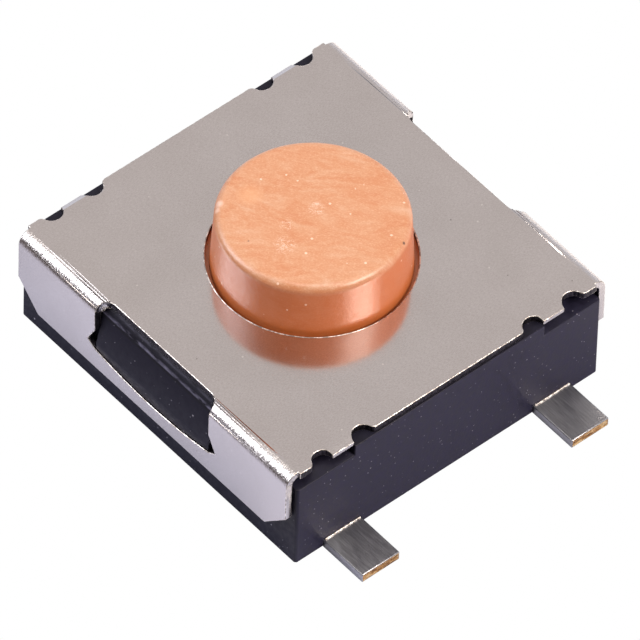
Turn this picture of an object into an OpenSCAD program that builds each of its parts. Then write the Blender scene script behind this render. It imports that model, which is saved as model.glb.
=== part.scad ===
// Tactile push button switch, surface mount, 6.2 mm class.
// z = 0 is the plane of the circuit board; the terminals leave along X, the cover's flaps hang on Y.

/* [Base] */
// Length of the moulded base along X
base_w = 6.2; // [5.6:0.05:7.2]
// Width of the moulded base along Y
base_d = 5.8; // [5.5:0.05:7]
// Height from the underside of the base to the top of the cover
body_h = 1.93; // [1.8:0.01:2.6]
// Gap between the circuit board and the underside of the base
standoff = 0.03; // [0.01:0.01:0.08]
// Chamfer on the upright corners of the base
corner_chamfer = 0.03; // [0.02:0.01:0.12]
// Depth of the rim's step under the cover's carrier tabs, at the +X side
rim_step_h = 0.2; // [0.1:0.01:0.4]
// How far the rim's step reaches in from the side
rim_step_in = 0.35; // [0.25:0.01:0.45]
// Diameter of the holes that the mould's support pins leave in the underside
pin_hole_d = 0.5; // [0.3:0.05:0.6]

/* [Cover] */
// Length of the cover along X
cover_w = 6.14; // [5.5:0.01:7.1]
// Length of each flap along X
flap_w = 6.04; // [5.4:0.01:7]
// Thickness of the cover's sheet
sheet_t = 0.12; // [0.08:0.01:0.2]
// Outer radius of the bend between the top and a flap
bend_r = 0.22; // [0.21:0.01:0.4]
// Height of a flap's lower edge above the underside of the base
flap_low = 0.56; // [0.3:0.01:0.7]
// Size of the 45 degree chamfer on a flap's lower corners
flap_chamfer = 0.46; // [0.1:0.01:0.7]
// Gap all round the button in the cover's hole
hole_gap = 0.075; // [0.04:0.005:0.15]
// Gap between a flap and the side of the base
flap_gap = 0.03; // [0.01:0.01:0.08]
// Radius of the notches beside the carrier tabs
notch_r = 0.18; // [0.1:0.01:0.2]
// Radius of the outer corner between a notch and the side
notch_corner_r = 0.09; // [0.03:0.01:0.12]
// Distance from the middle of the side to the middle of a carrier tab
tab_y = 2.01; // [1.9:0.01:2.2]
// Distance between the two notches beside a carrier tab
notch_pitch = 0.76; // [0.6:0.01:0.8]
// How far in from its edge a carrier tab starts to slope down
tab_slope_in = 0.1; // [0.04:0.01:0.14]
// How much lower the tab is at its edge
tab_slope_h = 0.05; // [0.02:0.01:0.08]

/* [Snap] */
// Length of the window in each flap
window_w = 2.56; // [2:0.01:3.2]
// Height of the window's lower edge above the underside of the base, at its ends
window_low = 0.95; // [0.8:0.01:1.1]
// How much lower the window's lower edge is in its middle
window_bow = 0.13; // [0.02:0.01:0.2]
// How far the ears of the window reach out past its ends
ear_out = 0.16; // [0.05:0.01:0.2]
// Radius of the window's upper corners
window_r = 0.2; // [0.1:0.01:0.3]
// How far the nub stands out of the side of the base
nub_out = 0.13; // [0.08:0.01:0.2]
// Height of the nub's upright face, below its ramp
nub_lip = 0.12; // [0.05:0.01:0.3]
// Gap between the nub and the window at its ends
nub_gap = 0.01; // [0.01:0.01:0.1]

/* [Terminals] */
// How far the terminals stand out of the base at its +X side
term_out = 0.865; // [0.5:0.005:1.6]
// How far the terminals stand out at the -X side, where they are cut from the carrier strip
term_out_cut = 0.645; // [0.4:0.005:1.6]
// Distance between the middles of the two terminals on one side
term_pitch = 4.02; // [3.7:0.01:4.4]
// Width of a terminal
term_w = 0.71; // [0.5:0.01:0.9]
// Thickness of the terminals' strip
term_t = 0.16; // [0.1:0.01:0.2]

/* [Contacts] */
// Height of the contact chamber's floor above the circuit board
floor_z = 0.55; // [0.45:0.01:0.65]
// Width of the tongue that carries the centre contact
centre_tongue_w = 0.8; // [0.6:0.05:1.2]
// Diameter of the centre contact
centre_bump_d = 0.6; // [0.3:0.05:0.6]
// Height of the centre contact above the floor
centre_bump_h = 0.04; // [0.02:0.01:0.06]
// Width of the tongues that carry the side contacts
side_tongue_w = 0.55; // [0.45:0.05:0.7]
// Diameter of a side contact
side_pad_d = 0.4; // [0.3:0.05:0.45]
// Height of a side contact above the floor
side_pad_h = 0.03; // [0.01:0.01:0.04]

/* [Dome and film] */
// Diameter of the snap dome
dome_d = 3.7; // [3.4:0.05:3.8]
// Thickness of the snap dome
dome_t = 0.06; // [0.04:0.01:0.08]
// Thickness of the insulating film
film_t = 0.04; // [0.02:0.01:0.06]
// Height of the step that the film's rim lies on, above the chamber's floor
film_step_h = 0.25; // [0.22:0.01:0.3]
// Clearance round the dome and the film
round_clearance = 0.08; // [0.03:0.01:0.12]

/* [Button] */
// Diameter of the button at its foot, just above the flange
button_d = 3; // [2.2:0.01:3.2]
// How much the button's radius shrinks from its foot to its upper edge
button_draft = 0.05; // [0:0.01:0.1]
// Height of the button's top above the cover
button_rise = 0.93; // [0.4:0.01:2]
// Radius of the button's upper edge
button_edge_r = 0.13; // [0.05:0.01:0.2]
// How far the flange that holds the button reaches past the cover's hole
flange_lip = 0.5; // [0.3:0.05:0.6]
// Thickness of the flange
flange_t = 0.5; // [0.4:0.01:0.55]
// Diameter of the boss that pushes on the dome
boss_d = 1; // [0.6:0.05:1.4]
// Travel of the button
travel = 0.25; // [0.15:0.01:0.28]
// Running gap between the flange and the cover
flange_gap = 0.02; // [0.01:0.01:0.03]

/* [Hidden] */
$fn = 64;
far = 10;
cap_steps = 10;
base_z = standoff;
cover_z = base_z + body_h;
rim_z = cover_z - sheet_t;
hole_d = button_d + 2 * hole_gap;
flange_d = hole_d + 2 * flange_lip;
cover_d = base_d + 2 * (sheet_t + flap_gap);
term_y = term_pitch / 2;
strip_z = floor_z - term_t;
jog_depth = 0.25;
jog_out = base_w / 2 - jog_depth;
jog_in = jog_out - strip_z;
pad_overhang = 0.07;
side_x = dome_d / 2 - side_pad_d / 2 + pad_overhang;
dome_z = floor_z + side_pad_h;
dome_rise = travel + centre_bump_h - side_pad_h;
dome_top = dome_z + dome_rise + dome_t;
chamber_d = dome_d + 2 * round_clearance;
film_z = floor_z + film_step_h;
film_gap = 0.01;
film_rise = dome_top + film_gap - film_z;
film_margin = 0.1;
film_d = flange_d + film_margin;
film_cap_d = chamber_d - round_clearance;
well_d = film_d + 2 * round_clearance;
flange_top = rim_z - flange_gap;
boss_z = film_z + film_rise + film_t + film_gap;
button_z = cover_z + button_rise;
window_top_y = cover_d / 2 - bend_r;
ear_rise = 0.1;
ear_h = 0.3;
ear_z = base_z + window_low + ear_rise;
ear_top = ear_z + ear_h;
bend_clearance = 0.02;
rim_bevel = bend_r - sheet_t + bend_clearance;
nub_root = 0.2;
rim_step_y = tab_y - notch_pitch / 2 + notch_r;
bow_steps = 8;

// Thin shell of revolution that rises from z to z + rise in the middle
function cap_line(d, rise, z, from, to) =
    [for (i = [from : sign(to - from) : to])
        let (s = i / cap_steps) [d / 2 * s, z + rise * (1 - s * s)]];

module cap_shell(d, rise, t, z) {
    rotate_extrude()
        polygon(concat(cap_line(d, rise, z, 0, cap_steps), cap_line(d, rise, z + t, cap_steps, 0)));
}

// Section through the cover: a box with rounded upper corners and no floor
module hood_section(width, top, r) {
    translate([-width / 2, -far]) square([width, far + top - r]);
    translate([-width / 2 + r, -far]) square([width - 2 * r, far + top]);
    for (side = [-1, 1]) translate([side * (width / 2 - r), top - r]) circle(r);
}

// Sweeps a section drawn in Y and Z along X
module along_x(length) {
    rotate([90, 0, 90]) translate([0, 0, -length / 2]) linear_extrude(length) children();
}

// Outline of a flap in X and Z, with its chamfered lower corners
module flap_outline() {
    low = base_z + flap_low;
    w = flap_w / 2;
    polygon([[-w + flap_chamfer, low], [w - flap_chamfer, low], [w, low + flap_chamfer],
             [w, cover_z + 1], [-w, cover_z + 1], [-w, low + flap_chamfer]]);
}

// Bowed lower edge of the window, in X and Z, with a gap to it for the nub
function bow_line(gap) =
    [for (i = [0 : bow_steps]) let (s = 2 * i / bow_steps - 1)
        [(window_w / 2 - gap) * s, base_z + window_low + gap - window_bow * (1 - s * s)]];

// Outline of the window in X and Z: a bowed lower edge and two pointed ears
module window_outline() {
    w = window_w / 2;
    polygon(concat(bow_line(0), [[w + ear_out, ear_z], [w, ear_top], [w, cover_z + 1],
                                 [-w, cover_z + 1], [-w, ear_top], [-w - ear_out, ear_z]]));
}

// Cut for one window: straight through the flap, with rounded corners in the bend
module window_cut(side) {
    bend_z = cover_z - bend_r;
    on_side(side) intersection() {
        rotate([90, 0, 0]) translate([0, 0, -far]) linear_extrude(2 * far) window_outline();
        union() {
            translate([-far, base_d / 2, 0]) cube([2 * far, far, bend_z]);
            translate([0, 0, bend_z]) linear_extrude(far) {
                translate([-window_w / 2 + window_r, window_top_y]) square([window_w - 2 * window_r, 1]);
                translate([-window_w, window_top_y + window_r]) square([2 * window_w, 1]);
                for (end = [-1, 1])
                    translate([end * (window_w / 2 - window_r), window_top_y + window_r])
                        circle(window_r);
            }
        }
    }
}

// Mirrors what is drawn for +Y to the side given
module on_side(side) {
    mirror([0, side < 0 ? 1 : 0, 0]) children();
}

// Places of the four carrier tabs
module at_tabs() {
    for (end = [-1, 1], side = [-1, 1]) mirror([end < 0 ? 1 : 0, 0, 0]) on_side(side) children();
}

module cover() {
    color("silver") difference() {
        intersection() {
            along_x(cover_w) difference() {
                hood_section(cover_d, cover_z, bend_r);
                hood_section(cover_d - 2 * sheet_t, rim_z, bend_r - sheet_t);
            }
            union() {
                rotate([90, 0, 0]) translate([0, 0, -far]) linear_extrude(2 * far) flap_outline();
                translate([-far, -cover_d / 2 + bend_r, rim_z - 1])
                    cube([2 * far, cover_d - 2 * bend_r, far]);
            }
        }
        translate([0, 0, rim_z - 1]) cylinder(d = hole_d, h = 2, $fn = 128);
        for (side = [-1, 1]) window_cut(side);
        at_tabs() translate([cover_w / 2, tab_y, rim_z - 1]) linear_extrude(2) {
            translate([0, notch_pitch / 2]) notch_outline();
            translate([0, -notch_pitch / 2]) mirror([0, 1]) notch_outline();
        }
        at_tabs() translate([cover_w / 2, tab_y + notch_pitch / 2, 0]) rotate([90, 0, 0])
            linear_extrude(notch_pitch)
                polygon([[-tab_slope_in, cover_z], [0, cover_z - tab_slope_h], [1, cover_z - tab_slope_h],
                         [1, cover_z + 1], [-tab_slope_in, cover_z + 1]]);
    }
}

// A notch in an edge along Y, rounded off at the side that faces away from the tab
module notch_outline() {
    e = notch_corner_r;
    y = sqrt(pow(notch_r + e, 2) - e * e);
    circle(notch_r, $fn = 48);
    difference() {
        polygon([[1, 0], [0, 0], [-e, y], [1, y]]);
        translate([-e, y]) circle(e, $fn = 48);
    }
}

// Body of the base seen from above
module base_outline() {
    w = base_w / 2;
    d = base_d / 2;
    c = corner_chamfer;
    polygon([[w - c, d], [w, d - c], [w, -d + c], [w - c, -d],
             [-w + c, -d], [-w, -d + c], [-w, d - c], [-w + c, d]]);
}

// Section through the base in Y and Z, with the bevel that clears the cover's bends
module base_section() {
    d = base_d / 2;
    c = rim_bevel;
    polygon([[-d, base_z], [d, base_z], [d, rim_z - c], [d - c, rim_z], [-d + c, rim_z], [-d, rim_z - c]]);
}

// Nub that holds the cover down: a long ramp above, a ledge below that follows the window's edge
module nub(side) {
    low = base_z + window_low - window_bow;
    lip = base_z + window_low + nub_lip;
    top = rim_z - rim_bevel;
    d = base_d / 2;
    w = window_w / 2 - nub_gap;
    on_side(side) intersection() {
        along_x(2 * w) polygon([[d - nub_root, low], [d + nub_out, low], [d + nub_out, lip],
                                   [d, top], [d - nub_root, top]]);
        rotate([90, 0, 0]) translate([0, 0, -far]) linear_extrude(far)
            polygon(concat(bow_line(nub_gap), [[w, cover_z], [-w, cover_z]]));
    }
}

module base() {
    color("#3c3846") difference() {
        union() {
            intersection() {
                translate([0, 0, -far]) linear_extrude(2 * far) base_outline();
                along_x(base_w) base_section();
            }
            for (side = [-1, 1]) nub(side);
        }
        translate([0, 0, film_z]) cylinder(d = well_d, h = far, $fn = 128);
        translate([0, 0, floor_z]) cylinder(d = chamber_d, h = far, $fn = 128);
        for (side = [-1, 1]) on_side(side)
            translate([base_w / 2 - rim_step_in, rim_step_y, rim_z - rim_step_h]) cube([1, base_d, 1]);
        for (x = [-1, 1], y = [-1, 1])
            translate([x * (base_w / 4), y * term_y, -1]) cylinder(d = pin_hole_d, h = 1 + strip_z, $fn = 32);
        centre_contact_frame();
        side_contact_frame();
    }
}

// One strip with a terminal at each end: it steps up inside the base
module lead_strip() {
    tip = base_w / 2 + term_out;
    cut = -base_w / 2 - term_out_cut;
    rotate([90, 0, 0]) translate([0, 0, -term_w / 2]) linear_extrude(term_w)
        polygon([[cut, 0], [-jog_out, 0], [-jog_in, strip_z], [jog_in, strip_z], [jog_out, 0], [tip, 0],
                 [tip, term_t], [jog_out, term_t], [jog_in, floor_z], [-jog_in, floor_z],
                 [-jog_out, term_t], [cut, term_t]]);
}

// Tongue from a strip to its contact, drawn for a strip on the +Y side
module tongue(x, width, reach) {
    translate([x - width / 2, -reach, strip_z]) cube([width, reach + term_y, term_t]);
}

module centre_contact_frame() {
    color("#c9c4b8") mirror([0, 1, 0]) {
        translate([0, term_y, 0]) lead_strip();
        tongue(0, centre_tongue_w, centre_tongue_w / 2);
        translate([0, 0, strip_z]) cylinder(d = centre_bump_d, h = term_t + centre_bump_h, $fn = 32);
    }
}

module side_contact_frame() {
    color("#c9c4b8") {
        translate([0, term_y, 0]) lead_strip();
        for (x = [-side_x, side_x]) {
            tongue(x, side_tongue_w, side_tongue_w / 2);
            translate([x, 0, strip_z]) cylinder(d = side_pad_d, h = term_t + side_pad_h, $fn = 32);
        }
    }
}

module snap_dome() {
    color("#d8d4cc") cap_shell(dome_d, dome_rise, dome_t, dome_z);
}

module insulating_film() {
    color("#c98a3a") {
        cap_shell(film_cap_d, film_rise, film_t, film_z);
        translate([0, 0, film_z]) difference() {
            cylinder(d = film_d, h = film_t);
            translate([0, 0, -1]) cylinder(d = film_cap_d - film_margin, h = 2);
        }
    }
}

// Half section of the button, with a rounded upper edge and a little draft
module button_section() {
    r = button_edge_r;
    top_r = button_d / 2 - button_draft;
    flange_z = flange_top - flange_t;
    polygon([[0, boss_z], [boss_d / 2, boss_z], [boss_d / 2, flange_z], [flange_d / 2, flange_z],
             [flange_d / 2, flange_top], [button_d / 2, flange_top], [top_r, button_z - r],
             [top_r - r, button_z], [0, button_z]]);
    intersection() {
        translate([top_r - r, button_z - r]) circle(r);
        translate([top_r - r, button_z - r]) square(r);
    }
}

module button() {
    color("#e8a076") rotate_extrude($fn = 128) button_section();
}

base();
cover();
button();
insulating_film();
snap_dome();
centre_contact_frame();
side_contact_frame();
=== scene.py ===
import math
import bmesh
import bpy
from mathutils import Matrix, Vector


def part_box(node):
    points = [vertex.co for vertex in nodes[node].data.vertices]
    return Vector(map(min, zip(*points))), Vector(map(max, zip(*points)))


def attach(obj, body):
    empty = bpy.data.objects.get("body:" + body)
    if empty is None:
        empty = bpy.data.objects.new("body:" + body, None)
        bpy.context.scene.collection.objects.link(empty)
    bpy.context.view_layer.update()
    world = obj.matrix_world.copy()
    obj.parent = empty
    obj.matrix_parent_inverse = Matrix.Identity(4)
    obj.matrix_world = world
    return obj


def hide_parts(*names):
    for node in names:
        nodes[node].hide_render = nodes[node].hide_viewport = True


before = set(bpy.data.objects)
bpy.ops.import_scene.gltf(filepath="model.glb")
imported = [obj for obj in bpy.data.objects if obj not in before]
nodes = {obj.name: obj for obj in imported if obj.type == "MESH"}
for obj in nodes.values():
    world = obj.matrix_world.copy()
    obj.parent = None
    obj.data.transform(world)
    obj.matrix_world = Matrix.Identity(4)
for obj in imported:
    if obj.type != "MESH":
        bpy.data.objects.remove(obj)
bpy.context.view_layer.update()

scene = bpy.context.scene
scene.view_settings.view_transform = "Standard"

# Camera: the photograph was taken from in front of the (+X, -Y) corner, looking down at about 49 degrees,
# through a long lens from far away. The part stands on z = 0, the plane of the circuit board.
MM = 0.001
CAMERA_AZIMUTH = math.radians(48.19)
CAMERA_ELEVATION = math.radians(49.2)
CAMERA_ROLL = math.radians(1.88)
CAMERA_DISTANCE = 229.02 * MM
CAMERA_LENS = 878.7
CAMERA_RIGHT = 0.157 * MM
CAMERA_UP = 0.324 * MM
BOARD_TO_BASE = 0.03 * MM

back = Vector((
    math.sin(CAMERA_AZIMUTH) * math.cos(CAMERA_ELEVATION),
    -math.cos(CAMERA_AZIMUTH) * math.cos(CAMERA_ELEVATION),
    math.sin(CAMERA_ELEVATION),
))
level_right = Vector((math.cos(CAMERA_AZIMUTH), math.sin(CAMERA_AZIMUTH), 0))
level_up = back.cross(level_right)
right = math.cos(CAMERA_ROLL) * level_right + math.sin(CAMERA_ROLL) * level_up
up = math.cos(CAMERA_ROLL) * level_up - math.sin(CAMERA_ROLL) * level_right
camera_data = bpy.data.cameras.new("studio_camera")
camera_data.sensor_width = 36
camera_data.lens = CAMERA_LENS
camera_data.clip_start = 0.01
camera_data.clip_end = 10
camera = bpy.data.objects.new("studio_camera", camera_data)
place = back * CAMERA_DISTANCE + right * CAMERA_RIGHT + up * CAMERA_UP + Vector((0, 0, BOARD_TO_BASE))
turn = Matrix((right, up, back)).transposed()
camera.matrix_world = Matrix.Translation(place) @ turn.to_4x4()
scene.collection.objects.link(camera)
scene.camera = camera


# Surroundings: a studio with white paper behind the switch, dark low down in front of it and darkest off
# its (+X, -Y) corner, for the steel to mirror. The camera itself sees plain white. Here linear turns an
# sRGB hex colour to linear light, and add makes one node with its settings and links.
def linear(hex_colour):
    channels = [int(hex_colour[i:i + 2], 16) / 255 for i in (1, 3, 5)]
    return [c / 12.92 if c <= 0.04045 else ((c + 0.055) / 1.055) ** 2.4 for c in channels] + [1.0]


def add(tree, kind, links=(), **settings):
    node = tree.nodes.new(kind)
    for name, value in settings.items():
        setattr(node, name, value)
    for socket, value in dict(links).items():
        if isinstance(value, bpy.types.NodeSocket):
            tree.links.new(value, node.inputs[socket])
        else:
            node.inputs[socket].default_value = value
    return node


def ramp(tree, value, stops):
    node = add(tree, "ShaderNodeValToRGB", {"Fac": value})
    steps = node.color_ramp.elements
    while len(steps) < len(stops):
        steps.new(1.0)
    for step, (position, colour) in zip(steps, stops):
        step.position = position
        step.color = linear(colour)
    return node.outputs["Color"]


DARK_CORNER = (0.745, -0.667, 0.0)
world = bpy.data.worlds.new("studio_surroundings")
world.use_nodes = True
scene.world = world
tree = world.node_tree
tree.nodes.clear()
direction = add(tree, "ShaderNodeTexCoord").outputs["Generated"]
axes = add(tree, "ShaderNodeSeparateXYZ", {"Vector": direction})
height = axes.outputs["Z"]
front = ramp(tree, height, [(0.0, "#5c5452"), (0.22, "#544e4c"), (0.6, "#b4aeaa"), (0.8, "#d6cec8")])
behind = ramp(tree, height, [(0.0, "#eceefa"), (0.3, "#dad8de"), (0.6, "#d6cecb"), (0.8, "#d6cecb")])
side = add(tree, "ShaderNodeMapRange", {"Value": axes.outputs["Y"], "From Min": -0.1, "From Max": 0.2})
sky = add(tree, "ShaderNodeMix", {0: side.outputs[0], 6: front, 7: behind}, data_type="RGBA").outputs[2]
towards = add(tree, "ShaderNodeVectorMath", {0: direction, 1: DARK_CORNER}, operation="DOT_PRODUCT")
dark = add(tree, "ShaderNodeMapRange", {
    "Value": towards.outputs["Value"], "From Min": 0.1, "From Max": 0.6, "To Min": 1.0, "To Max": 0.25})
surround = add(tree, "ShaderNodeBackground", {"Color": sky, "Strength": dark.outputs[0]})
white = add(tree, "ShaderNodeBackground", {"Color": linear("#ffffff"), "Strength": 1.0})
rays = add(tree, "ShaderNodeLightPath")
seen = add(tree, "ShaderNodeMixShader", {
    0: rays.outputs["Is Camera Ray"], 1: surround.outputs[0], 2: white.outputs[0]})
add(tree, "ShaderNodeOutputWorld", {"Surface": seen.outputs[0]})

# Table: a sheet of cold white paper whose colour holds painted light and painted shade: pale near the switch,
# fading to a painted dark away from it and in front, and white behind. This gives the flaps their lavender
# colour and the dark line at the foot of the bends.
TABLE_SIZE = 400 * MM
LIT_R = 5 * MM
DARK_R = 10 * MM
FRONT_SHADE_Y = -3 * MM
BACK_SHADE_Y = 3 * MM
BACK_WHITE_Y = 5 * MM
table_mesh = bpy.data.meshes.new("studio_table")
half = TABLE_SIZE / 2
table_mesh.from_pydata([(-half, -half, 0), (half, -half, 0), (half, half, 0), (-half, half, 0)], [],
                       [(0, 1, 2, 3)])
table = bpy.data.objects.new("studio_table", table_mesh)
scene.collection.objects.link(table)
paper = bpy.data.materials.new("white_table_paper")
paper.use_nodes = True
tree = paper.node_tree
tree.nodes.clear()
spot = add(tree, "ShaderNodeTexCoord").outputs["Object"]
away = add(tree, "ShaderNodeVectorMath", {0: spot}, operation="LENGTH")
falling = add(tree, "ShaderNodeMapRange", {
    "Value": away.outputs["Value"], "From Min": LIT_R, "From Max": DARK_R})
spot_axes = add(tree, "ShaderNodeSeparateXYZ", {"Vector": spot})
in_front = add(tree, "ShaderNodeMapRange", {
    "Value": spot_axes.outputs["Y"], "From Min": 0.0, "From Max": FRONT_SHADE_Y})
falling = add(tree, "ShaderNodeMath", {0: falling.outputs[0], 1: in_front.outputs[0]}, operation="MULTIPLY")
paper_colour = ramp(tree, falling.outputs[0], [(0.0, "#c8cbdd"), (1.0, "#5a5250")])
at_back = add(tree, "ShaderNodeMapRange", {
    "Value": spot_axes.outputs["Y"], "From Min": BACK_SHADE_Y, "From Max": BACK_WHITE_Y})
paper_colour = add(tree, "ShaderNodeMix", {
    0: at_back.outputs[0], 6: paper_colour, 7: linear("#ffffff")}, data_type="RGBA").outputs[2]
matt = add(tree, "ShaderNodeBsdfDiffuse", {"Color": paper_colour})
glow = add(tree, "ShaderNodeEmission", {"Color": linear("#ffffff"), "Strength": 1.0})
rays = add(tree, "ShaderNodeLightPath")
seen = add(tree, "ShaderNodeMixShader", {
    0: rays.outputs["Is Camera Ray"], 1: matt.outputs[0], 2: glow.outputs[0]})
add(tree, "ShaderNodeOutputMaterial", {"Surface": seen.outputs[0]})
table_mesh.materials.append(paper)


# Lamps: a large soft one on the left front gives the bends their broad highlight and the button its pale
# left side, one on the right gives the peach light at its lower right, and one overhead lights the top.
def softbox(name, towards, distance, size, power, colour="#ffffff"):
    lamp = bpy.data.lights.new(name, "AREA")
    lamp.shape = "SQUARE"
    lamp.size = size
    lamp.energy = power
    lamp.color = linear(colour)[:3]
    piece = bpy.data.objects.new(name, lamp)
    piece.location = Vector(towards).normalized() * distance
    piece.rotation_euler = piece.location.to_track_quat("Z", "Y").to_euler()
    scene.collection.objects.link(piece)


softbox("left_front_softbox", (-0.62, -0.62, 0.62), 60 * MM, 38 * MM, 0.024, "#f8f8ff")
softbox("right_softbox", (0.8, 0.2, 0.75), 60 * MM, 24 * MM, 0.027, "#fff2e6")
softbox("overhead_softbox", (0.1, -0.05, 1.0), 70 * MM, 30 * MM, 0.010, "#fffaf6")


def copy_of(node):
    mesh = bmesh.new()
    mesh.from_mesh(nodes[node].data)
    bmesh.ops.remove_doubles(mesh, verts=mesh.verts, dist=0.0001 * MM)
    bmesh.ops.dissolve_limit(mesh, angle_limit=math.radians(0.5), verts=mesh.verts, edges=mesh.edges)
    return mesh


def piece_from(mesh, name, node, edge, materials, edge_material=0):
    data = bpy.data.meshes.new(name)
    mesh.normal_update()
    mesh.to_mesh(data)
    mesh.free()
    piece = bpy.data.objects.new(name, data)
    scene.collection.objects.link(piece)
    for made in materials:
        data.materials.append(made)
    if edge:
        bevel = piece.modifiers.new("sheared_edge", "BEVEL")
        bevel.width = edge
        bevel.segments = 2
        bevel.limit_method = "ANGLE"
        bevel.angle_limit = math.radians(35)
        bevel.use_clamp_overlap = False
        bevel.material = edge_material
    data.shade_smooth()
    data.set_sharp_from_angle(angle=math.radians(50))
    smooth = piece.modifiers.new("even_shading", "WEIGHTED_NORMAL")
    smooth.keep_sharp = True
    if node:
        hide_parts(node)
    return piece


def material(name, metallic):
    made = bpy.data.materials.new(name)
    made.use_nodes = True
    tree = made.node_tree
    shader = tree.nodes["Principled BSDF"]
    shader.inputs["Metallic"].default_value = metallic
    # The place in millimetres, so a pattern's scale is its number of grains, specks or streaks in 1 mm.
    place = add(tree, "ShaderNodeVectorMath", {
        0: add(tree, "ShaderNodeTexCoord").outputs["Object"], 1: (1000, 1000, 1000)}, operation="MULTIPLY")
    return made, tree, shader, place.outputs[0]


def math_node(tree, operation, first, second=0.0, third=0.0):
    return add(tree, "ShaderNodeMath", {0: first, 1: second, 2: third}, operation=operation).outputs[0]


def band(tree, value, low, high, to_low=0.0, to_high=1.0):
    return add(tree, "ShaderNodeMapRange", {
        "Value": value, "From Min": low, "From Max": high, "To Min": to_low, "To Max": to_high}).outputs[0]


def noise(tree, place, per_mm, detail=2.0, stretch=(1, 1, 1), distortion=0.0, roughness=0.5):
    scaled = add(tree, "ShaderNodeMapping", {"Vector": place, "Scale": stretch})
    return add(tree, "ShaderNodeTexNoise", {
        "Vector": scaled.outputs[0], "Scale": per_mm, "Detail": detail, "Distortion": distortion,
        "Roughness": roughness}).outputs["Fac"]


def specks(tree, place, per_mm, size, share):
    cells = add(tree, "ShaderNodeTexVoronoi", {"Vector": place, "Scale": per_mm, "Randomness": 1.0})
    chosen = add(tree, "ShaderNodeSeparateColor", {"Color": cells.outputs["Color"]}).outputs[0]
    dot = math_node(tree, "LESS_THAN", cells.outputs["Distance"], size * per_mm)
    return math_node(tree, "MULTIPLY", dot, math_node(tree, "LESS_THAN", chosen, share))


def blend_colours(tree, share, first, second):
    node = add(tree, "ShaderNodeMix", {0: share, 6: first, 7: second}, data_type="RGBA")
    return node.outputs[2]


def bump(tree, height, strength, distance):
    return add(tree, "ShaderNodeBump", {
        "Height": height, "Strength": strength, "Distance": distance}).outputs[0]


BEND_Y = 2.83 * MM
BEND_Z = 1.74 * MM
BEND_OUTER = 0.22 * MM
BEND_INNER = 0.10 * MM
HOLE_R = 1.575 * MM
COVER_TOP = 1.96 * MM
SHEET_EDGE = 0.01 * MM
TAB_Y = 2.01 * MM
TAB_HALF = 0.2 * MM
TAB_X = 3.05 * MM
FLAP_END_X = 3 * MM
BOWED_EDGE_HALF = 1.25 * MM
CUT_DEPTH = 0.055 * MM
TINY = 0.001 * MM

# Cold-rolled stainless steel: a warm satin grey with a fine grain, duller on the flaps, and coarse and bright
# in the bends, where the sheet was stretched. The real grain, near 0.01 mm, is drawn at 0.02 mm to show.
steel, tree, shader, at = material("satin_stainless_sheet", 1.0)
axes = add(tree, "ShaderNodeSeparateXYZ", {"Vector": at})
across = math_node(tree, "ABSOLUTE", axes.outputs["Y"])
in_bend = math_node(tree, "MULTIPLY", band(tree, across, 2.82, 2.9), band(tree, axes.outputs["Z"], 1.72, 1.8))
on_flap = band(tree, axes.outputs["Z"], 1.78, 1.7)
grain = noise(tree, at, 46, 3.0, (1.4, 0.6, 1.0))
cloud = noise(tree, at, 1.1, 3.0)
tint = blend_colours(tree, band(tree, grain, 0.3, 0.7), linear("#d0cbca"), linear("#e0dcdb"))
tint = blend_colours(tree, band(tree, cloud, 0.35, 0.75, 0.0, 0.25), tint, linear("#c0bab6"))
dust = specks(tree, at, 5, 0.016, 0.22)
tint = blend_colours(tree, math_node(tree, "MULTIPLY", dust, 0.6), tint, linear("#fbf8f4"))
elsewhere = add(tree, "ShaderNodeVectorMath", {0: at, 1: (7.3, 1.9, 4.1)}, operation="ADD").outputs[0]
pits = specks(tree, elsewhere, 3, 0.014, 0.25)
tint = blend_colours(tree, math_node(tree, "MULTIPLY", pits, 0.55), tint, linear("#4c4644"))
tree.links.new(tint, shader.inputs["Base Color"])
rough = band(tree, grain, 0.3, 0.7, 0.10, 0.16)
rough = math_node(tree, "ADD", rough, math_node(tree, "MULTIPLY", in_bend, 0.13))
rough = math_node(tree, "ADD", rough, math_node(tree, "MULTIPLY", on_flap, 0.08))
tree.links.new(rough, shader.inputs["Roughness"])
stretched = noise(tree, at, 40, 2.0, (1.0, 0.3, 0.3), 0.6)
relief = math_node(tree, "MULTIPLY", band(tree, stretched, 0.35, 0.65), in_bend)
relief = math_node(tree, "ADD", relief, math_node(tree, "MULTIPLY", grain, 0.035))
tree.links.new(bump(tree, relief, 0.8, 0.005 * MM), shader.inputs["Normal"])

# Sheared steel: the cut faces carry painted shade, a near-black colour, and are dragged along the punch's
# stroke.
edge, tree, shader, at = material("sheared_edge_painted_shade", 1.0)
drag = noise(tree, at, 30, 3.0, (1.0, 1.0, 0.3))
tree.links.new(blend_colours(tree, band(tree, drag, 0.35, 0.7), linear("#1c1a22"), linear("#5a565c")),
               shader.inputs["Base Color"])
shader.inputs["Roughness"].default_value = 0.5
tree.links.new(bump(tree, drag, 0.5, 0.006 * MM), shader.inputs["Normal"])

# Bare punched metal, with a painted highlight: a near-white colour draws a thin bright line on the cut edges,
# broken in places.
painted_highlight_steel, tree, shader, at = material("punched_edge_painted_highlight", 1.0)
patchy = noise(tree, at, 16, 3.0)
tree.links.new(blend_colours(tree, band(tree, patchy, 0.42, 0.6), linear("#aaa29c"), linear("#fffaf4")),
               shader.inputs["Base Color"])
shader.inputs["Roughness"].default_value = 0.4
tree.links.new(bump(tree, patchy, 0.5, 0.01 * MM), shader.inputs["Normal"])

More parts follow.
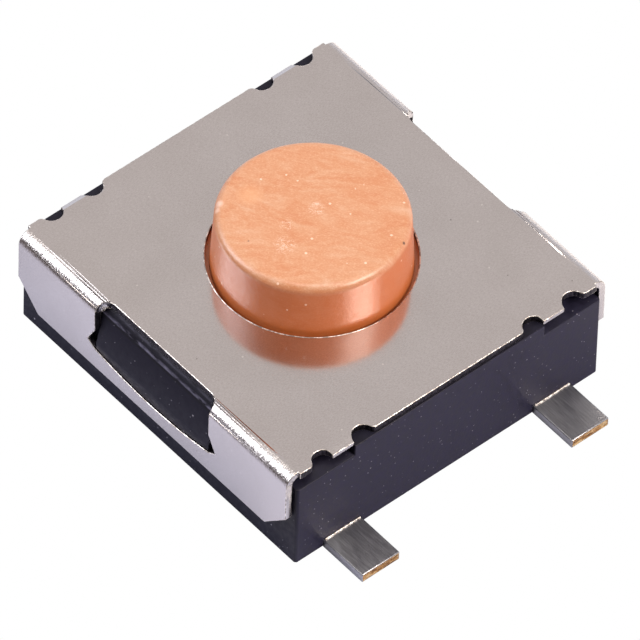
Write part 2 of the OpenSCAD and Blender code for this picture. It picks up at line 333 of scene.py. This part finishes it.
mesh = copy_of("cover")
for side in (-1, 1):
    for degrees in range(5, 90, 5):
        angle = math.radians(degrees)
        faces = [f for f in mesh.faces if all(
            v.co.y * side > BEND_Y - TINY and v.co.z > BEND_Z - TINY for v in f.verts)]
        edges = list({e for f in faces for e in f.edges})
        verts = list({v for f in faces for v in f.verts})
        bmesh.ops.bisect_plane(
            mesh, geom=verts + edges + faces, dist=0.0002 * MM, plane_co=(0, side * BEND_Y, BEND_Z),
            plane_no=(0, side * math.cos(angle), -math.sin(angle)))
for vert in mesh.verts:
    side = 1 if vert.co.y > 0 else -1
    out = Vector((0, vert.co.y - side * BEND_Y, vert.co.z - BEND_Z))
    if out.y * side > TINY and out.z > TINY:
        for radius in (BEND_OUTER, BEND_INNER):
            if abs(out.length - radius) < 0.02 * MM:
                out = out.normalized() * radius
                vert.co.y = side * BEND_Y + out.y
                vert.co.z = BEND_Z + out.z
rim = [e for e in mesh.edges if all(abs(v.co.xy.length - HOLE_R) < 0.002 * MM for v in e.verts)
       and abs(e.verts[0].co.z - e.verts[1].co.z) < TINY]
bmesh.ops.subdivide_edges(mesh, edges=rim, cuts=3)
for vert in mesh.verts:
    if abs(vert.co.xy.length - HOLE_R) < 0.02 * MM:
        vert.co.xy = vert.co.xy.normalized() * HOLE_R
mesh.normal_update()
# A face that reaches through the sheet is a cut one, and gets the edge material with its painted shade; those
# on the tabs, on the flaps' ends and on the windows' bowed edges catch the light, and keep the sheet's steel.
for face in mesh.faces:
    middle = face.calc_center_median()
    depths = []
    for vert in face.verts:
        y, z = abs(vert.co.y), vert.co.z
        if y <= BEND_Y:
            depths.append(COVER_TOP - z)
        elif z <= BEND_Z:
            depths.append(BEND_Y + BEND_OUTER - y)
        else:
            depths.append(BEND_OUTER - math.hypot(y - BEND_Y, z - BEND_Z))
    through_sheet = max(depths) - min(depths) > CUT_DEPTH
    on_tab = abs(abs(middle.y) - TAB_Y) < TAB_HALF and abs(middle.x) > TAB_X
    flap_end = abs(middle.y) > BEND_Y and abs(middle.x) > FLAP_END_X
    bowed_edge = face.normal.z > 0.5 and abs(middle.x) < BOWED_EDGE_HALF
    if through_sheet and not on_tab and not flap_end and not bowed_edge:
        face.material_index = 1
cover = piece_from(mesh, "stamped_cover", "cover", SHEET_EDGE,
                   [steel, edge, painted_highlight_steel], 2)
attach(cover, "switch_body")

# Burr: the punch leaves a thin steel lip round the cover's hole, bright with a painted highlight in its
# colour. It stands up at the front left and sinks into the sheet at the back right.
BURR_R = 0.008 * MM
mesh = bmesh.new()
steps, ring = 192, 8
rings = []
round_lip = [2 * math.pi * j / ring for j in range(ring)]
for i in range(steps):
    turn_round = 2 * math.pi * i / steps
    sunk = 1.5 * BURR_R * min(1, max(0, 0.6 - 2 * math.cos(turn_round + math.radians(95))))
    rings.append([mesh.verts.new((
        (HOLE_R + BURR_R * math.cos(a)) * math.cos(turn_round),
        (HOLE_R + BURR_R * math.cos(a)) * math.sin(turn_round),
        COVER_TOP - TINY - sunk + BURR_R * math.sin(a))) for a in round_lip])
for i in range(steps):
    for j in range(ring):
        after, beside = (i + 1) % steps, (j + 1) % ring
        mesh.faces.new((rings[i][j], rings[after][j], rings[after][beside], rings[i][beside]))
burr = piece_from(mesh, "hole_burr", None, 0, [painted_highlight_steel])
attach(burr, "switch_body")

# Base: glass-filled polymer moulded round the contact strips, bluish black and matt, with fine pale specks of
# glass and dust;
# the nubs in the windows and the faces under the cover are darkened with painted shade, and the nubs' edges
# carry painted highlights.
black, tree, shader, at = material("moulded_black_polymer", 0.0)
axes = add(tree, "ShaderNodeSeparateXYZ", {"Vector": at})
across = math_node(tree, "ABSOLUTE", axes.outputs["Y"])
mottle = noise(tree, at, 9, 4.0)
skin = blend_colours(tree, band(tree, mottle, 0.3, 0.7), linear("#1f1d2f"), linear("#2c2a40"))
# Painted shade: the skin darkens towards |y| = 2.9 mm, on the sides and nubs that lie under the cover's bent
# flaps.
skin = blend_colours(tree, band(tree, across, 2.86, 2.9), skin, linear("#141223"))
uneven = band(tree, noise(tree, at, 2.3, 2.0), 0.35, 0.65)
glass = math_node(tree, "MULTIPLY", specks(tree, at, 6, 0.016, 0.3), uneven)
skin = blend_colours(tree, math_node(tree, "MULTIPLY", glass, 0.75), skin, linear("#cfccd8"))
elsewhere = add(tree, "ShaderNodeVectorMath", {0: at, 1: (3.1, 5.7, 2.3)}, operation="ADD").outputs[0]
glass = specks(tree, elsewhere, 11, 0.011, 0.4)
glass = math_node(tree, "MULTIPLY", glass, uneven)
skin = blend_colours(tree, math_node(tree, "MULTIPLY", glass, 0.45), skin, linear("#b9b6c4"))
# Painted shade: the base above z 1.66 mm and inside |x| 3.09 mm, where it lies under the cover's sheet, is
# darkened.
along = math_node(tree, "ABSOLUTE", axes.outputs["X"])
under_sheet = band(tree, axes.outputs["Z"], 1.62, 1.66)
shaded = math_node(tree, "MULTIPLY", under_sheet, band(tree, along, 3.098, 3.09))
skin = blend_colours(tree, math_node(tree, "MULTIPLY", shaded, 0.7), skin, linear("#0b0a13"))
# Painted highlights: two pale lines, broken by noise, along the nubs' upper edges in the windows, at z 1.715
# and 1.80 mm.
for line_z, strength in ((1.715, 0.55), (1.80, 0.3)):
    off = math_node(tree, "ABSOLUTE", math_node(tree, "SUBTRACT", axes.outputs["Z"], line_z))
    line = math_node(tree, "MULTIPLY", band(tree, off, 0.03, 0.008), band(tree, across, 2.8, 2.84))
    line = math_node(tree, "MULTIPLY", line, band(tree, noise(tree, at, 5, 3.0, (1.0, 1.0, 4.0)), 0.35, 0.6))
    skin = blend_colours(tree, math_node(tree, "MULTIPLY", line, strength), skin, linear("#8f8da6"))
tree.links.new(skin, shader.inputs["Base Color"])
tree.links.new(band(tree, mottle, 0.3, 0.7, 0.42, 0.58), shader.inputs["Roughness"])
shader.inputs["Specular IOR Level"].default_value = 0.25
tree.links.new(bump(tree, noise(tree, at, 22, 3.0), 0.35, 0.004 * MM), shader.inputs["Normal"])
MOULDED_EDGE = 0.015 * MM
mesh = copy_of("base")
base = piece_from(mesh, "moulded_base", "base", MOULDED_EDGE, [black])
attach(base, "switch_body")

# Button: turned up from its moulded profile with 192 steps, in salmon liquid-crystal polymer. Its skin shows
# pale flow streaks that swirl across the top, scratches, pale specks and a few dark dots.
BUTTON_R = 1.5 * MM
BUTTON_TOP_R = 1.45 * MM
BUTTON_EDGE = 0.13 * MM
BUTTON_TOP = 2.89 * MM
FLANGE_R = 2.075 * MM
FLANGE_TOP = 1.82 * MM
FLANGE_LOW = 1.32 * MM
BOSS_R = 0.5 * MM
BOSS_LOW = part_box("button")[0].z

salmon, tree, shader, at = material("moulded_salmon_polymer", 0.0)
turned = add(tree, "ShaderNodeMapping", {"Vector": at, "Rotation": (0, 0, math.radians(-38))}).outputs[0]
swirl = noise(tree, turned, 1.3, 6.0, (1.0, 2.2, 2.4), 1.8, 0.6)
fine = noise(tree, turned, 11, 4.0, (1.0, 2.6, 2.0), 1.0)
tint = ramp(tree, swirl, [(0.3, "#c67f53"), (0.45, "#cb8c63"), (0.58, "#ce956f"), (0.74, "#d2a282")])
tint = blend_colours(tree, band(tree, fine, 0.5, 0.75, 0.0, 0.3), tint, linear("#dcb192"))
tint = blend_colours(tree, band(tree, fine, 0.45, 0.25, 0.0, 0.25), tint, linear("#bd7142"))
dusty = noise(tree, turned, 34, 2.0, (1.0, 1.6, 1.6))
tint = blend_colours(tree, band(tree, dusty, 0.52, 0.72, 0.0, 0.35), tint, linear("#e6c0a4"))
tint = blend_colours(tree, band(tree, dusty, 0.44, 0.28, 0.0, 0.22), tint, linear("#b4683c"))
# Painted sheen: the side is blended towards a deeper orange below 2.86 mm, so the top reads paler, as under
# the white sheen on it.
height = add(tree, "ShaderNodeSeparateXYZ", {"Vector": at}).outputs["Z"]
tint = blend_colours(tree, band(tree, height, 2.86, 2.72, 0.0, 0.75), tint, linear("#d0641f"))
pale = specks(tree, at, 6, 0.02, 0.25)
tint = blend_colours(tree, math_node(tree, "MULTIPLY", pale, 0.6), tint, linear("#ffe6d2"))
for spot, size, colour, share in (
        ((1.24, 0.67, 2.85), 0.024, "#4a2412", 0.9),
        ((-0.196, -1.07, 2.89), 0.013, "#6a3418", 0.8),
        ((-1.027, -0.928, 2.88), 0.06, "#fbdccb", 0.6),
        ((-0.958, -1.03, 2.87), 0.045, "#fbdccb", 0.5),
        ((-0.859, -0.48, 2.89), 0.17, "#e8b083", 0.35)):
    near = add(tree, "ShaderNodeVectorMath", {0: at, 1: spot}, operation="DISTANCE").outputs["Value"]
    tint = blend_colours(tree, band(tree, near, size * 1.4, size * 0.5, 0.0, share), tint, linear(colour))
wander = noise(tree, at, 7, 3.0, (1, 1, 1), 2.5)
vein = math_node(tree, "ABSOLUTE", math_node(tree, "SUBTRACT", wander, 0.5))
for spot, size in (((0.198, -0.709, 2.89), 0.2), ((-0.077, -0.438, 2.89), 0.13), ((-0.05, 0.1, 2.89), 0.16)):
    near = add(tree, "ShaderNodeVectorMath", {0: at, 1: spot}, operation="DISTANCE").outputs["Value"]
    scratch = math_node(tree, "MULTIPLY", band(tree, vein, 0.03, 0.008), band(tree, near, size, size * 0.5))
    tint = blend_colours(tree, math_node(tree, "MULTIPLY", scratch, 0.6), tint, linear("#fbe3d2"))
tree.links.new(tint, shader.inputs["Base Color"])
tree.links.new(band(tree, dusty, 0.3, 0.7, 0.28, 0.46), shader.inputs["Roughness"])
shader.inputs["Specular IOR Level"].default_value = 0.95
skin_relief = math_node(tree, "ADD", math_node(tree, "MULTIPLY", dusty, 0.5), noise(tree, turned, 14, 3.0))
tree.links.new(bump(tree, skin_relief, 0.45, 0.006 * MM), shader.inputs["Normal"])

profile = [(0, BOSS_LOW), (BOSS_R, BOSS_LOW), (BOSS_R, FLANGE_LOW), (FLANGE_R, FLANGE_LOW),
           (FLANGE_R, FLANGE_TOP), (BUTTON_R, FLANGE_TOP)]
foot_to_edge = BUTTON_TOP - BUTTON_EDGE - FLANGE_TOP
profile += [(BUTTON_R + (BUTTON_TOP_R - BUTTON_R) * s, FLANGE_TOP + foot_to_edge * s)
            for s in (0.25, 0.5, 0.75)]
over_edge = [math.radians(d) for d in range(0, 91, 10)]
profile += [(BUTTON_TOP_R - BUTTON_EDGE + BUTTON_EDGE * math.cos(a),
             BUTTON_TOP - BUTTON_EDGE + BUTTON_EDGE * math.sin(a)) for a in over_edge]
profile += [(BUTTON_TOP_R * s, BUTTON_TOP) for s in (0.8, 0.6, 0.4, 0.2)] + [(0, BUTTON_TOP)]
mesh = bmesh.new()
steps = 192
rows = []
for radius, z in profile:
    if radius == 0:
        rows.append([mesh.verts.new((0, 0, z))])
    else:
        rows.append([mesh.verts.new((radius * math.cos(2 * math.pi * i / steps),
                                     radius * math.sin(2 * math.pi * i / steps), z)) for i in range(steps)])
for low, high in zip(rows, rows[1:]):
    for i in range(steps):
        after = (i + 1) % steps
        corners = [low[i % len(low)], low[after % len(low)], high[after % len(high)], high[i % len(high)]]
        corners = [v for n, v in enumerate(corners) if v not in corners[:n]]
        mesh.faces.new(corners)
bmesh.ops.recalc_face_normals(mesh, faces=mesh.faces)
button = piece_from(mesh, "moulded_button", "button", 0, [salmon])
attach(button, "button")

# Contact strips: silver-plated copper alloy, rolled and so brushed along the terminals, grey with tarnish at
# the base and bare golden metal where the tips were sheared off after plating.
plated, tree, shader, at = material("silver_plated_copper_strip", 1.0)
drawn = noise(tree, at, 42, 2.0, (0.1, 1.4, 1.0))
tarnish = noise(tree, at, 3.0, 4.0, (0.6, 1.4, 1.0))
tint = blend_colours(tree, band(tree, drawn, 0.3, 0.7), linear("#a0a1a5"), linear("#b6b7bb"))
tint = blend_colours(tree, band(tree, tarnish, 0.45, 0.75, 0.0, 0.3), tint, linear("#74767b"))
tree.links.new(tint, shader.inputs["Base Color"])
tree.links.new(band(tree, drawn, 0.3, 0.7, 0.3, 0.4), shader.inputs["Roughness"])
tree.links.new(bump(tree, drawn, 0.12, 0.002 * MM), shader.inputs["Normal"])

sheared, tree, shader, at = material("sheared_copper_alloy", 1.0)
torn = noise(tree, at, 14, 4.0, (1.0, 0.6, 1.4))
tint = ramp(tree, torn, [(0.35, "#8a6236"), (0.5, "#c99a5c"), (0.62, "#f2d49a")])
tree.links.new(tint, shader.inputs["Base Color"])
shader.inputs["Roughness"].default_value = 0.32
tree.links.new(bump(tree, torn, 1.0, 0.02 * MM), shader.inputs["Normal"])

STRIP_EDGE = 0.014 * MM
TIP_DEPTH = 0.01 * MM
for node, name in (("centre_contact_frame", "centre_contact_strip"),
                   ("side_contact_frame", "side_contact_strip")):
    low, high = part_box(node)
    mesh = copy_of(node)
    for face in mesh.faces:
        middle = face.calc_center_median()
        if middle.x > high.x - TIP_DEPTH or middle.x < low.x + TIP_DEPTH:
            face.material_index = 1
    strip = piece_from(mesh, name, node, STRIP_EDGE, [plated, sheared])
    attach(strip, "switch_body")

# Root beads: where each terminal leaves the base, the moulding closed on the plating and left a small bead of
# displaced metal across it, made bright by a painted highlight in its colour.
BEAD_R = 0.02 * MM
BEAD_LENGTH = 0.66 * MM
BEAD_X = 3.108 * MM
STRIP_TOP = 0.16 * MM
TERMINAL_Y = 2.01 * MM
for node in ("centre_contact_frame", "side_contact_frame"):
    low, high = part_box(node)
    middle_y = math.copysign(TERMINAL_Y, low.y + high.y)
    for side in (-1, 1):
        mesh = bmesh.new()
        lift = Matrix.Translation((side * BEAD_X, middle_y, STRIP_TOP + BEAD_R * 0.4))
        bmesh.ops.create_cone(mesh, cap_ends=True, segments=14, radius1=BEAD_R, radius2=BEAD_R,
                              depth=BEAD_LENGTH, matrix=lift @ Matrix.Rotation(math.radians(90), 4, "X"))
        bead = piece_from(mesh, f"root_bead_{node}_{'pos' if side > 0 else 'neg'}", None,
                          0, [painted_highlight_steel])
        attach(bead, "switch_body")

# Snap dome and film: the dome is a silver-clad spring leaf, the film over it clear amber polyimide.
# Both are inside, and show only where the part is cut open.
spring, tree, shader, at = material("silver_clad_spring_strip", 1.0)
rolled = noise(tree, at, 20, 3.0, (0.2, 1.5, 1.0))
tree.links.new(blend_colours(tree, rolled, linear("#c4c0b8"), linear("#e6e2da")), shader.inputs["Base Color"])
tree.links.new(band(tree, rolled, 0.3, 0.7, 0.18, 0.32), shader.inputs["Roughness"])

amber, tree, shader, at = material("amber_polyimide_film", 0.0)
cast = noise(tree, at, 2, 2.0)
tree.links.new(blend_colours(tree, cast, linear("#b87224"), linear("#d09444")), shader.inputs["Base Color"])
tree.links.new(band(tree, cast, 0.3, 0.7, 0.15, 0.25), shader.inputs["Roughness"])
for node, made in (("snap_dome", spring), ("insulating_film", amber)):
    nodes[node].data.materials.clear()
    nodes[node].data.materials.append(made)
